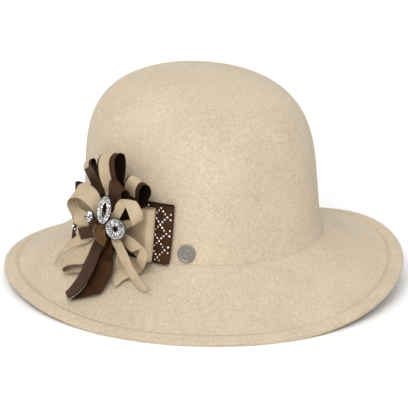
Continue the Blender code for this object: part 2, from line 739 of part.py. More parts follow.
def make_badge(material):
    """The badge: a plain round disc with a turned rim, flat against the crown."""
    share = BADGE_HEIGHT / CROWN_HEIGHT
    middle = crown_point(BADGE_ANGLE, share)
    normal = crown_normal(BADGE_ANGLE, share)
    side = np.cross((0.0, 0.0, 1.0), normal)
    side /= np.linalg.norm(side)
    up = np.cross(normal, side)
    seat = GAP * 1.5
    profile = ((1.0, seat), (1.0, seat + 0.7 * BADGE_THICKNESS), (0.93, seat + BADGE_THICKNESS),
               (0.84, seat + BADGE_THICKNESS), (0.78, seat + 0.7 * BADGE_THICKNESS))
    count = 24
    points = []
    for reach, out in profile:
        for i in range(count):
            turn = 2.0 * math.pi * i / count
            flat = side * math.cos(turn) + up * math.sin(turn)
            points.append(middle + flat * reach * BADGE_RADIUS + normal * out)
    faces = []
    for row in range(len(profile) - 1):
        faces += ring_faces(row * count, (row + 1) * count, count)
    faces.append(tuple(reversed(range(count))))
    faces.append(tuple(range((len(profile) - 1) * count, len(profile) * count)))
    return closed_mesh("badge", points, faces, material)


def make_material(name):
    """A plain finish with the piece's own colour, roughness and metal share."""
    colour, roughness, metallic = COLOURS[name]
    material = bpy.data.materials.new(name)
    material.use_nodes = True
    shader = material.node_tree.nodes["Principled BSDF"]
    shader.inputs["Base Color"].default_value = (*colour, 1.0)
    shader.inputs["Roughness"].default_value = roughness
    shader.inputs["Metallic"].default_value = metallic
    return material


def centre_outline():
    """Moves every piece so that the middle of the hat's outline stands on the origin."""
    shown = [piece for piece in bpy.data.objects if piece.type == "MESH"]
    corners = np.array([vertex.co for piece in shown for vertex in piece.data.vertices])
    middle = (corners.min(axis=0) + corners.max(axis=0)) / 2
    for piece in shown:
        for vertex in piece.data.vertices:
            vertex.co.x -= middle[0]
            vertex.co.y -= middle[1]


def main():
    for old in list(bpy.data.objects):
        bpy.data.objects.remove(old, do_unlink=True)
    materials = {name: make_material(name) for name in COLOURS}
    make_crown(materials["felt"])
    make_brim(materials["felt"])
    make_band(materials["brown"])
    make_bow(materials["beige"])
    make_knot(materials["brown"])
    for name, spec in RIBBONS.items():
        make_ribbon(name, spec, materials)
    for name, spec in RINGS.items():
        make_stone_ring(name, spec, materials["stone"])
    make_badge(materials["badge"])
    centre_outline()


main()
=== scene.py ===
import math
import random

import bpy
import numpy as np
from mathutils import Matrix, Vector


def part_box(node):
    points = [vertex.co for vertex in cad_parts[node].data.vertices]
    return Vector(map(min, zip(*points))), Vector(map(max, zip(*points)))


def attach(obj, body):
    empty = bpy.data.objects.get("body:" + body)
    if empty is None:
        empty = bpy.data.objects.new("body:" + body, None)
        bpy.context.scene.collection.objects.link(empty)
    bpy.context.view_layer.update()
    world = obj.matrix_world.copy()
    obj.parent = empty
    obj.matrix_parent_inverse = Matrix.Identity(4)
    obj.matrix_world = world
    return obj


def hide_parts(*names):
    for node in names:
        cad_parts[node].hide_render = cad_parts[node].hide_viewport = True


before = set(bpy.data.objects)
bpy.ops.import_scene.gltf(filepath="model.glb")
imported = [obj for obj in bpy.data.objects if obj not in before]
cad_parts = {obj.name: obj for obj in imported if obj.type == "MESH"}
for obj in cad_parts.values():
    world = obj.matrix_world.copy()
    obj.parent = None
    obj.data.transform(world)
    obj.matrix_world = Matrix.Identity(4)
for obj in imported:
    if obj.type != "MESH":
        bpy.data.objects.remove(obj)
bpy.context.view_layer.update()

random.seed(11)
mm = 0.001


# tools for the shapes

def deselectAll():
    if bpy.context.object and bpy.context.object.mode != "OBJECT":
        bpy.ops.object.mode_set(mode="OBJECT")
    bpy.ops.object.select_all(action="DESELECT")


def makeActive(piece):
    deselectAll()
    piece.select_set(True)
    bpy.context.view_layer.objects.active = piece


def applyModifier(piece, kind, **settings):
    makeActive(piece)
    modifier = piece.modifiers.new(kind.title(), kind)
    for key, value in settings.items():
        setattr(modifier, key, value)
    bpy.ops.object.modifier_apply(modifier=modifier.name)


def gridPiece(name, columns, rows, shape, mapped=None, closeUp=0.0):
    # a grid primitive whose corners are then carried to their places
    # along runs from 0 to 1, across from -0.5 to 0.5, and corners nearer than closeUp become one
    deselectAll()
    bpy.ops.mesh.primitive_grid_add(x_subdivisions=columns, y_subdivisions=rows, size=1.0)
    piece = bpy.context.object
    piece.name = piece.data.name = name
    mesh = piece.data
    flat = np.zeros(len(mesh.vertices) * 3, np.float32)
    mesh.vertices.foreach_get("co", flat)
    flat = flat.reshape(-1, 3)
    along = np.clip(flat[:, 0] + 0.5, 0.0, 1.0)
    across = np.clip(flat[:, 1], -0.5, 0.5)
    placed = np.array([shape(a, b) for a, b in zip(along, across)], np.float32)
    mesh.vertices.foreach_set("co", placed.ravel())
    if mapped:
        corners = np.zeros(len(mesh.loops), np.int32)
        mesh.loops.foreach_get("vertex_index", corners)
        chart = np.array([mapped(a, b) for a, b in zip(along, across)], np.float32)
        mesh.uv_layers[0].data.foreach_set("uv", chart[corners].ravel())
        mesh.uv_layers[0].name = "cloth"
        share = np.stack((along, across), axis=1).astype(np.float32)
        mesh.uv_layers.new(name="share").data.foreach_set("uv", share[corners].ravel())
    mesh.update()
    if closeUp:
        makeActive(piece)
        bpy.ops.object.mode_set(mode="EDIT")
        bpy.ops.mesh.select_all(action="SELECT")
        bpy.ops.mesh.remove_doubles(threshold=closeUp)
        bpy.ops.mesh.normals_make_consistent(inside=False)
        bpy.ops.object.mode_set(mode="OBJECT")
    return piece


def smoothShade(piece, angle=None):
    makeActive(piece)
    if angle is None:
        bpy.ops.object.shade_smooth()
    else:
        bpy.ops.object.shade_smooth_by_angle(angle=math.radians(angle))


def selectUpward(piece):
    # leaves the piece in edit mode with the faces that look up selected
    makeActive(piece)
    bpy.ops.object.mode_set(mode="EDIT")
    bpy.ops.mesh.select_mode(type="FACE")
    bpy.ops.mesh.select_all(action="DESELECT")
    bpy.ops.object.mode_set(mode="OBJECT")
    for face in piece.data.polygons:
        face.select = face.normal.z > 0.9
    bpy.ops.object.mode_set(mode="EDIT")


def finishPiece(piece, material, slot, *nodes):
    if material:
        piece.data.materials.clear()
        piece.data.materials.append(material)
    if nodes:
        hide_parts(*nodes)
    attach(piece, "root")
    return piece


def copyMany(source, places, name):
    # one modelled shape copied to every place, then joined into one piece
    copies = []
    for place in places:
        copy = source.copy()
        copy.data = source.data.copy()
        copy.data.transform(place)
        bpy.context.collection.objects.link(copy)
        copies.append(copy)
    deselectAll()
    for copy in copies:
        copy.select_set(True)
    bpy.context.view_layer.objects.active = copies[0]
    bpy.ops.object.join()
    piece = bpy.context.object
    piece.name = piece.data.name = name
    return piece


def unit(vector):
    vector = np.asarray(vector, float)
    return vector / np.linalg.norm(vector)


def placeMatrix(point, outward, sideways, size):
    # stands a shape on a surface: its own z looks outward
    outward = unit(outward)
    sideways = unit(np.asarray(sideways) - outward * (np.asarray(sideways) @ outward))
    third = np.cross(outward, sideways)
    turn = Matrix((sideways, third, outward)).transposed().to_4x4()
    return Matrix.Translation(Vector(point)) @ turn @ Matrix.Diagonal((*size, 1.0))


# tools for the materials

class Wire:  # a socket that can be added and multiplied
    def __init__(self, shader, socket):
        self.shader, self.socket = shader, socket

    def sum(self, operation, first, second=None):
        values = {0: first} if second is None else {0: first, 1: second}
        return self.shader.node("ShaderNodeMath", {"operation": operation}, values)

    def __add__(self, other):
        return self.sum("ADD", self, other)

    def __radd__(self, other):
        return self.sum("ADD", other, self)

    def __mul__(self, other):
        return self.sum("MULTIPLY", self, other)

    def __rmul__(self, other):
        return self.sum("MULTIPLY", other, self)

    def wave(self):
        return self.sum("SINE", self)

    def size(self):
        return self.sum("ABSOLUTE", self)


class Shader:  # one material, with its fixed values set on the shader's own sockets
    def __init__(self, name, **fixed):
        self.material = bpy.data.materials.new(name)
        self.material.use_nodes = True
        self.tree = self.material.node_tree
        self.surface = self.tree.nodes["Principled BSDF"]
        for key, value in fixed.items():
            self.surface.inputs[key.replace("_", " ")].default_value = value

    def node(self, kind, settings=None, values=None, out=0):
        made = self.tree.nodes.new(kind)
        for key, value in (settings or {}).items():
            if key == "stops":
                ramp = made.color_ramp
                while len(ramp.elements) < len(value):
                    ramp.elements.new(0.5)
                for element, (position, colour) in zip(ramp.elements, value):
                    element.position = position
                    element.color = (*colour, 1.0)
            else:
                setattr(made, key, value)
        for key, value in (values or {}).items():
            if isinstance(value, Wire):
                self.tree.links.new(value.socket, made.inputs[key])
            else:
                made.inputs[key].default_value = (*value, 1.0) if isinstance(value, tuple) else value
        return Wire(self, made.outputs[out])

    def feed(self, name, wire):
        self.tree.links.new(wire.socket, self.surface.inputs[name])

    def place(self):
        return self.node("ShaderNodeTexCoord", out="Object")

    def chart(self, name="cloth"):
        return self.node("ShaderNodeUVMap", {"uv_map": name})

    def split(self, vector):
        made = self.node("ShaderNodeSeparateXYZ", values={0: vector})
        return [Wire(self, made.socket.node.outputs[i]) for i in range(3)]

    def noise(self, where, scale, detail=3.0, roughness=0.55, distortion=0.0):
        values = {"Vector": where, "Scale": scale, "Detail": detail, "Roughness": roughness,
                  "Distortion": distortion}
        return self.node("ShaderNodeTexNoise", values=values)

    def blend(self, share, first, second):
        colours = {0: share, 6: first, 7: second}
        return self.node("ShaderNodeMix", {"data_type": "RGBA"}, colours, out=2)

    def ramp(self, share, *stops):
        return self.node("ShaderNodeValToRGB", {"stops": stops}, {0: share})

    def range(self, wire, low, high, toLow, toHigh):
        values = {0: wire, 1: low, 2: high, 3: toLow, 4: toHigh}
        return self.node("ShaderNodeMapRange", {"clamp": True}, values)

    def bump(self, height, distance, strength=1.0):
        values = {"Strength": strength, "Distance": distance, "Height": height}
        self.feed("Normal", self.node("ShaderNodeBump", values=values))


# the materials
felt = {
    "light": (0.712, 0.600, 0.440),
    "dark": (0.462, 0.368, 0.250),
    "fibre": 1150.0,  # fineness of the wool's fibres, its clumps and its faint patches
    "clump": 420.0,
    "patch": 22.0,
    "relief": 0.8 * mm,
    "sheen": 0.1,
}


def feltMaterial():
    shader = Shader("woolFelt", Roughness=1.0, Sheen_Weight=felt["sheen"], Sheen_Roughness=0.6)
    where = shader.place()
    fibre = shader.noise(where, felt["fibre"], 4.0, 0.7, 1.6)
    clump = shader.noise(where, felt["clump"], 4.0, 0.7, 1.8)
    patch = shader.noise(where, felt["patch"], 3.0, 0.5)
    tone = shader.range(fibre * 0.35 + clump * 0.5 + patch * 0.15, 0.38, 0.60, 0.0, 1.0)
    shader.feed("Base Color", shader.blend(tone, felt["dark"], felt["light"]))
    shader.bump(fibre * 0.5 + clump, felt["relief"])
    return shader.material


beigeRibbon = {
    "light": (0.545, 0.430, 0.285),
    "dark": (0.390, 0.297, 0.185),
    "edge": (0.30, 0.21, 0.12),
    "selvedge": 0.5,  # how strongly the woven edge shows
    "tint": (1.0, 1.0, 1.0),
    "rib": 0.62 * mm,
    "roughness": 0.7,
    "shine": 0.3,
}
brownRibbon = {
    "light": (0.066, 0.0305, 0.0135),
    "dark": (0.024, 0.0108, 0.0050),
    "edge": (0.018, 0.008, 0.004),
    "selvedge": 0.6,
    "tint": (1.0, 0.62, 0.36),
    "rib": 0.34 * mm,
    "roughness": 0.46,
    "shine": 0.11,
}
paintedShadeRibbon = {  # the inner side of a brown loop: the same brown painted darker as painted shade inside the loop, and duller
    **brownRibbon,
    "light": (0.0198, 0.00915, 0.00405),
    "dark": (0.0072, 0.00324, 0.0015),
    "edge": (0.0054, 0.0024, 0.0012),
    "roughness": 0.6,
    "shine": 0.033,
}
paintedHighlightRibbon = {  # the folds over the knot: the same brown painted lighter as a painted highlight, with more shine
    **brownRibbon,
    "light": (0.125, 0.062, 0.024),
    "dark": (0.04, 0.019, 0.008),
    "roughness": 0.34,
    "shine": 0.3,
}


def ribbonMaterial(name, look):
    shader = Shader(name, Specular_IOR_Level=look["shine"], Specular_Tint=(*look["tint"], 1.0))
    along, across, _ = shader.split(shader.chart())
    rib = (along * (2.0 * math.pi / look["rib"])).wave() * 0.5 + 0.5
    twill = ((along + across) * (2.0 * math.pi / (look["rib"] * 1.6))).wave() * 0.5 + 0.5
    drift = shader.noise(shader.place(), 120.0)
    thread = shader.node("ShaderNodeCombineXYZ", values={0: along * 250.0, 1: across * 4200.0})
    slub = shader.noise(thread, 1.0)
    tone = shader.range(rib * 0.18 + twill * 0.18 + drift * 0.4 + slub * 0.24, 0.3, 0.7, 0.0, 1.0)
    cloth = shader.blend(tone, look["dark"], look["light"])
    _, share, _ = shader.split(shader.chart("share"))
    selvedge = shader.range(share.size(), 0.455, 0.485, 0.0, look["selvedge"])
    shader.feed("Base Color", shader.blend(selvedge, cloth, look["edge"]))
    shader.feed("Roughness", shader.range(slub, 0.3, 0.7, look["roughness"] - 0.06, look["roughness"] + 0.08))
    shader.bump(rib * 0.6 + twill * 0.4 + slub * 0.6, 0.05 * mm, 0.7)
    return shader.material


def stoneMaterial(name, darkest):
    shader = Shader(name, Metallic=0.9, Roughness=0.09)
    # the base colour is painted dark and bright in tiny cells as painted reflections, the glints of the
    # facets; darkest is the darkest painted reflection
    cells = {"Vector": shader.place(), "Scale": 1500.0}
    glint = shader.node("ShaderNodeTexVoronoi", {"feature": "F1"}, cells, out="Color")
    bright, _, _ = shader.split(glint)
    middle = 0.5 + 0.4 * darkest
    shader.feed("Base Color", shader.ramp(bright, (0.0, (darkest, darkest, darkest)),
                                          (0.4, (middle, middle, middle)), (0.75, (1.0, 1.0, 1.0))))
    return shader.material


def metalMaterial(name, colour, roughness):
    shader = Shader(name, Metallic=1.0)
    grain = shader.noise(shader.place(), 900.0, 4.0, 0.6)
    worn = shader.range(grain, 0.35, 0.65, 0.0, 1.0)
    shader.feed("Base Color", shader.blend(worn, tuple(c * 0.75 for c in colour), colour))
    shader.feed("Roughness", shader.range(grain, 0.3, 0.7, roughness - 0.08, roughness + 0.12))
    shader.bump(grain, 0.04 * mm, 0.5)
    return shader.material


def threadMaterial():
    shader = Shader("sewingThread", Roughness=0.8, Sheen_Weight=0.3)
    twist = shader.noise(shader.place(), 2600.0, 2.0)
    tone = shader.range(twist, 0.35, 0.65, 0.0, 1.0)
    shader.feed("Base Color", shader.blend(tone, (0.46, 0.37, 0.25), (0.62, 0.51, 0.36)))
    shader.bump(twist, 0.05 * mm)
    return shader.material


materials = {
    "felt": feltMaterial(),
    "beige": ribbonMaterial("beigeRibbon", beigeRibbon),
    "brown": ribbonMaterial("brownSatin", brownRibbon),
    "brownInside": ribbonMaterial("brownInside", paintedShadeRibbon),
    "brownFold": ribbonMaterial("brownFold", paintedHighlightRibbon),
    "stone": stoneMaterial("rhinestone", 0.10),
    "stud": stoneMaterial("bandStone", 0.62),
    "setting": metalMaterial("ringSetting", (0.13, 0.125, 0.12), 0.35),
    "badge": metalMaterial("badgeMetal", (0.27, 0.25, 0.22), 0.42),
    "thread": threadMaterial(),
}
print("materials made")


# the felt crown: one closed shell with a real wall
crown = {
    "halfWidth": 85.5 * mm,
    "halfLength": 94.5 * mm,
    "height": 121.0 * mm,
    "flare": 4.3 * mm,
    "flareFade": 6,
    "shoulder": 4.6,  # how low the sides stay upright
    "roundness": 2.55,
    "leanBack": 6.0 * mm,
    "wall": 2.5 * mm,
    "seamHeight": 44.0 * mm,
    "gap": 0.3 * mm,
    "columns": 192,
    "rows": 72,
    "rowEase": 1.9,  # rows crowd together towards the top
    "dents": 0.45 * mm,
    "dentMiddle": 90.0 * mm,
    "waves": ((2, 0, 1.3, 0.5), (3, 4, 0.0, 0.35), (5, -6, 0.0, 0.15)),  # turns, climb, start and share
}
crownLow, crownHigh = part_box("crown")
hatMiddle = np.array(((crownLow.x + crownHigh.x) / 2, (crownLow.y + crownHigh.y) / 2, 0.0))


def crownHalf(share):
    radius = max(0.0, 1.0 - share ** crown["shoulder"]) ** (1.0 / crown["roundness"])
    flare = crown["flare"] * (1.0 - share) ** crown["flareFade"]
    return np.array((crown["halfWidth"] * radius + flare, crown["halfLength"] * radius + flare))


def crownPoint(angle, share):
    turn = math.radians(angle)
    wide, long = crownHalf(share) * (math.cos(turn), math.sin(turn))
    height = crown["seamHeight"] + crown["gap"] + crown["height"] * share
    return hatMiddle + np.array((wide, long + crown["leanBack"] * share ** 2, height))


def softDent(angle, share):
    turn = math.radians(angle)
    waves = sum(part * math.sin(turns * turn + climb * share + start)
                for turns, climb, start, part in crown["waves"])
    return crown["dents"] * math.sin(math.pi * min(share, 1.0)) * waves


def makeCrown():
    def shape(along, across):
        share = 1.0 - (0.5 - across) ** crown["rowEase"]
        angle = 360.0 * along
        point = crownPoint(angle, share)
        away = unit(point - hatMiddle - (0.0, 0.0, crown["dentMiddle"]))
        point = point + away * softDent(angle, share)
        if share < 0.004:  # the foot comes down to the brim
            point[2] -= crown["gap"]
        return point

    piece = gridPiece("feltCrown", crown["columns"], crown["rows"], shape, closeUp=0.01 * mm)
    applyModifier(piece, "SOLIDIFY", thickness=crown["wall"], offset=-1.0, use_even_offset=True)
    smoothShade(piece, angle=50)
    return finishPiece(piece, materials["felt"], "felt", "crown")


makeCrown()
print("crown made")


# the felt brim and its stitched hem
brim = {
    "width": 61.5 * mm,
    "shiftLeft": 5.0 * mm,
    "shiftBack": 4.5 * mm,
    "sweep": 1.35,
    "hemWidth": 11.0 * mm,
    "hemThickness": 4.4 * mm,
    "groove": 1.0 * mm,  # how deep the stitching is pulled in
    "grooveWidth": 1.15 * mm,
    "shallow": -125.0,  # where the groove hardly shows
    "shallowShare": 0.3,
    "pucker": 0.16 * mm,
    "puckers": 120,
    "wave": 0.5 * mm,
    "edgeRound": 0.045,
    "press": 1.6 * mm,
    "columns": 480,
    "lifts": (
        {"height": 22.0 * mm, "middle": -16.0, "before": 95.0, "after": 70.0},
        {"height": 7.5 * mm, "middle": 145.0, "before": 72.0, "after": 69.0},
    ),
}
stitches = {"spacing": 3.4 * mm, "size": (1.25 * mm, 0.26 * mm, 0.24 * mm), "proud": 0.12 * mm}
edgeHair = {
    "tufts": 260,
    "hairs": 11,
    "length": 2.0 * mm,
    "thick": 0.08 * mm,
    "spread": (2.2, 1.4),
    "lean": 0.9,
}
hemShare = 1.0 - brim["hemWidth"] / brim["width"]


def edgeHeight(angle):
    height = -brim["press"]
    for lift in brim["lifts"]:
        off = (angle - lift["middle"] + 180.0) % 360.0 - 180.0
        near = min(abs(off) / (lift["before"] if off < 0.0 else lift["after"]), 1.0)
        height += lift["height"] * 0.5 * (1.0 + math.cos(math.pi * near))
    return height


def brimMiddle(angle, share):
    turn = math.radians(angle)
    foot = crown["flare"]
    way = np.array((math.cos(turn), math.sin(turn)))
    seam = np.array((crown["halfWidth"] + foot, crown["halfLength"] + foot)) * way
    edge = seam + brim["width"] * way + (brim["shiftLeft"], brim["shiftBack"])
    low = edgeHeight(angle) + brim["hemThickness"] / 2
    high = crown["seamHeight"] - crown["wall"] / 2
    flat = seam + (edge - seam) * share
    return hatMiddle + np.array((*flat, low + (high - low) * max(1.0 - share, 0.0) ** brim["sweep"]))


def brimNormal(angle, share):
    along = brimMiddle(angle + 0.5, share) - brimMiddle(angle - 0.5, share)
    out = brimMiddle(angle, share + 0.002) - brimMiddle(angle, share - 0.002)
    return unit(np.cross(out, along))


def smoothStep(x):
    x = min(max(x, 0.0), 1.0)
    return x * x * (3.0 - 2.0 * x)


def grooveDepth(angle):
    off = abs((angle - brim["shallow"] + 180.0) % 360.0 - 180.0)
    low = brim["shallowShare"]
    return brim["groove"] * (low + (1.0 - low) * smoothStep((off - 25.0) / 55.0))


def nearSeam(share, reach):
    return math.exp(-((share - hemShare) * brim["width"] / reach) ** 2)


def brimHalf(share, top, angle):
    # half thickness of the felt, thicker where it is folded under at the hem
    thin, thick = crown["wall"] / 2, brim["hemThickness"] / 2
    inHem = (share - hemShare) / (1.0 - hemShare)
    half = thin + (thick - thin) * smoothStep((inHem + 0.02) / (0.22 if top else 0.1))
    if top:
        half -= grooveDepth(angle) * nearSeam(share, brim["grooveWidth"])
    pastRound = (share - 1.0) / brim["edgeRound"] + 1.0
    if pastRound > 0.0:
        half *= math.sqrt(max(0.0, 1.0 - pastRound ** 2))
    return half


def makeBrim():
    # rows from the crown to the edge, close together at the stitching
    shares = [0.0, 0.02, 0.05, 0.1, 0.16, 0.22, 0.28, 0.34, 0.40, 0.46, 0.52, 0.58, 0.64, 0.70, 0.75, 0.78]
    hemSteps = (-0.025, -0.017, -0.010, -0.004, 0.002, 0.008, 0.015, 0.024, 0.036, 0.055)
    shares += [hemShare + step for step in hemSteps]
    shares += [0.90, 0.925, 0.945, 0.96, 0.972, 0.982, 0.990, 0.996, 1.0]
    loop = [("top", share) for share in shares] + [("below", share) for share in reversed(shares[:-1])]
    loop = [("inner", 1.0)] + loop + [("inner", -1.0)]
    count = len(loop)

    def shape(along, across):
        side, share = loop[round((across + 0.5) * count) % count]
        angle = 360.0 * along
        if side == "inner":
            turn = math.radians(angle)
            point = brimMiddle(angle, 0.0) - np.array((math.cos(turn), math.sin(turn), 0.0)) * crown["wall"]
            point[2] += share * crown["wall"] / 2
            return point
        top = side == "top"
        normal = np.array((0.0, 0.0, 1.0)) if share == 0.0 else brimNormal(angle, share)
        half = brimHalf(share, top, angle)
        if top:
            pucker = brim["pucker"] * nearSeam(share, 2.2 * mm)
            half += pucker * math.sin(math.radians(angle) * brim["puckers"])
        point = brimMiddle(angle, share) + normal * (half if top else -half)
        wave = math.sin(math.radians(angle * 3 + 40)) * 0.5 + math.sin(math.radians(angle * 7)) * 0.3
        point[2] += wave * brim["wave"] * math.sin(math.pi * share) ** 2
        point[2] = max(point[2], 0.0)
        return point

    piece = gridPiece("feltBrim", brim["columns"], count, shape, closeUp=0.01 * mm)
    smoothShade(piece, angle=60)
    return finishPiece(piece, materials["felt"], "felt", "brim")


def makeHemStitches():
    deselectAll()
    bpy.ops.mesh.primitive_uv_sphere_add(segments=8, ring_count=5, radius=1.0)
    stitch = bpy.context.object
    places = []
    angle = 0.0
    while angle < 360.0:
        middle = brimMiddle(angle, hemShare)
        normal = brimNormal(angle, hemShare)
        ahead = brimMiddle(angle + 0.4, hemShare) - middle
        spot = middle + normal * (brimHalf(hemShare, True, angle) + stitches["proud"])
        places.append(placeMatrix(spot, normal, ahead, stitches["size"]))
        angle += 0.4 * stitches["spacing"] / np.linalg.norm(ahead)
    piece = copyMany(stitch, places, "hemStitches")
    bpy.data.objects.remove(stitch)
    smoothShade(piece)
    return finishPiece(piece, materials["thread"], "felt")


def makeEdgeHairs():
    # loose wool along the brim's edge: one tuft modelled once, copied round with its own turn and size
    deselectAll()
    hairs = []
    wide, high = edgeHair["spread"]
    lean = edgeHair["lean"]
    for _ in range(edgeHair["hairs"]):
        spot = (random.uniform(-wide, wide) * mm, random.uniform(-high, high) * mm, 0.5 * mm)
        turn = (random.uniform(-lean, lean), random.uniform(-lean, lean), 0.0)
        bpy.ops.mesh.primitive_cone_add(vertices=3, radius1=edgeHair["thick"], radius2=0.0,
                                        depth=edgeHair["length"], end_fill_type="NOTHING",
                                        location=spot, rotation=turn)
        hairs.append(bpy.context.object)
    for hair in hairs:
        hair.select_set(True)
    bpy.ops.object.join()
    tuft = bpy.context.object
    bpy.ops.object.transform_apply(location=True, rotation=True)
    places = []
    for i in range(edgeHair["tufts"]):
        angle = 360.0 * (i + random.uniform(-0.3, 0.3)) / edgeHair["tufts"]
        edge = brimMiddle(angle, 0.992)
        away = edge - brimMiddle(angle, 0.95)
        ahead = brimMiddle(angle + 0.3, 0.992) - edge
        edge[2] = max(edge[2] + random.uniform(-0.8, 0.8) * mm, 1.0 * mm)
        grow = random.uniform(0.7, 1.1)
        places.append(placeMatrix(edge, away, ahead, (grow, grow, grow * 0.9)))
    piece = copyMany(tuft, places, "edgeHairs")
    bpy.data.objects.remove(tuft)
    for vertex in piece.data.vertices:  # no hair goes below the floor
        vertex.co.z = max(vertex.co.z, 0.0)
    return finishPiece(piece, materials["felt"], "felt")


makeBrim()
makeHemStitches()
makeEdgeHairs()
print("brim made")


# the cockade's own axes: side towards the face, rise upwards, out from the crown
cockade = {"angle": 188.0, "height": 23.0 * mm, "reach": 50.0 * mm}
outTurn = math.radians(cockade["angle"])
outAxis = np.array((math.cos(outTurn), math.sin(outTurn), 0.0))
sideAxis = np.array((-outAxis[1], outAxis[0], 0.0))
riseAxis = np.array((0.0, 0.0, 1.0))
cockadeFoot = crownPoint(cockade["angle"], cockade["height"] / crown["height"])


def place(side, rise, out):
    return cockadeFoot + sideAxis * side + riseAxis * rise + outAxis * out


def turned(side, rise, out):
    return sideAxis * side + riseAxis * rise + outAxis * out


def crownOut(side, rise):
    # how far out the crown's wall stands at a side and a rise
    share = min(max((rise + cockade["height"]) / crown["height"], 0.0), 1.0)
    half = crownHalf(share)
    start = (cockadeFoot + sideAxis * side - hatMiddle)[:2] - np.array((0.0, crown["leanBack"] * share ** 2))
    a = np.sum((outAxis[:2] / half) ** 2)
    b = 2.0 * np.sum(start * outAxis[:2] / half ** 2)
    c = np.sum((start / half) ** 2) - 1.0
    return (-b + math.sqrt(b * b - 4.0 * a * c)) / (2.0 * a)


def smoothRows(rows, steps):
    # a smooth curve through every row
    rows = np.asarray(rows, float)
    ends = np.vstack((2 * rows[0] - rows[1], rows, 2 * rows[-1] - rows[-2]))
    result = []
    for step in range(steps + 1):
        position = step / steps * (len(rows) - 1)
        index = min(int(position), len(rows) - 2)
        f = position - index
        p0, p1, p2, p3 = ends[index:index + 4]
        result.append(0.5 * (2 * p1 + (p2 - p0) * f + (2 * p0 - 5 * p1 + 4 * p2 - p3) * f ** 2
                             + (3 * p1 - p0 - 3 * p2 + p3) * f ** 3))
    return np.array(result)


# the two flat loops, the studded band and the wide bow, a layer apart
layer = 1.3 * mm
band = {
    "halfLength": 47.0 * mm,
    "width": 44.0 * mm,
    "drop": 1.0 * mm,
    "endRadius": 2.4 * mm,
    "standoffLeft": 12.0 * mm,
    "standoffRight": 2.0 * mm,
    "shift": 1.5 * mm,
    "ripple": 0.25 * mm,
    "cloth": 0.6 * mm,
    "cell": (11.6 * mm, 12.4 * mm),  # the diamonds that the stones are set in
    "dots": 3,  # stones from one crossing to the next
    "stone": 0.92 * mm,
    "stoneHeight": 0.55 * mm,
    "stoneProud": 0.22 * mm,
    "margin": 1.2 * mm,  # kept free of stones at the long edges
    "wrap": 6.5 * mm,  # how far the stones go round the ends
}
bow = {
    "halfLength": 37.0 * mm,
    "endWidth": 40.0 * mm,
    "pinchWidth": 13.0 * mm,
    "endRadius": 3.2 * mm,
    "cloth": 0.6 * mm,
    "pleat": 0.25 * mm,
    "sag": 0.2 * mm,
}


def bandBack(side):
    share = abs(side - band["shift"]) / band["halfLength"]
    standoff = band["standoffLeft"] if side < band["shift"] else band["standoffRight"]
    return 0.8 * mm + standoff * share ** 2


def loopFront(look, back, side):
    share = min(abs(side - band["shift"]) / (look["halfLength"] - look["endRadius"]), 1.0)
    return back(side) + layer + (2.0 * look["endRadius"] - layer) * share ** 2.5


def bowBack(side):
    share = min(abs(side - band["shift"]) / bow["halfLength"], 1.0)
    return loopFront(band, bandBack, side) + layer + 0.6 * mm * share ** 2


def bowHalfWidth(side):
    share = min(abs(side - band["shift"]) / bow["halfLength"], 1.0)
    return (bow["pinchWidth"] + (bow["endWidth"] - bow["pinchWidth"]) * (1.0 - (1.0 - share) ** 2)) / 2


def flatLoop(look, back, steps=48):
    # the loop's centre line seen from above, closed: front, one end, behind, the other end
    straight = look["halfLength"] - look["endRadius"]
    shift, radius = band["shift"], look["endRadius"]
    sides = [straight * (2.0 * i / steps - 1.0) + shift for i in range(steps + 1)]
    front = [(side, loopFront(look, back, side)) for side in sides]
    behind = [(side, back(side)) for side in reversed(sides)]
    ends = []
    for sign in (1.0, -1.0):
        middle = back(sign * straight + shift) + radius
        ends.append([(sign * (straight + radius * math.sin(math.radians(q))) + shift,
                      middle + sign * radius * math.cos(math.radians(q))) for q in range(15, 180, 15)])
    points = np.array(front + ends[0] + behind + ends[1] + front[:1])
    lengths = np.concatenate(([0.0], np.cumsum(np.linalg.norm(np.diff(points, axis=0), axis=1))))
    return points, lengths


def loopAt(points, lengths, distance):
    return np.array([np.interp(distance, lengths, points[:, i]) for i in range(2)])


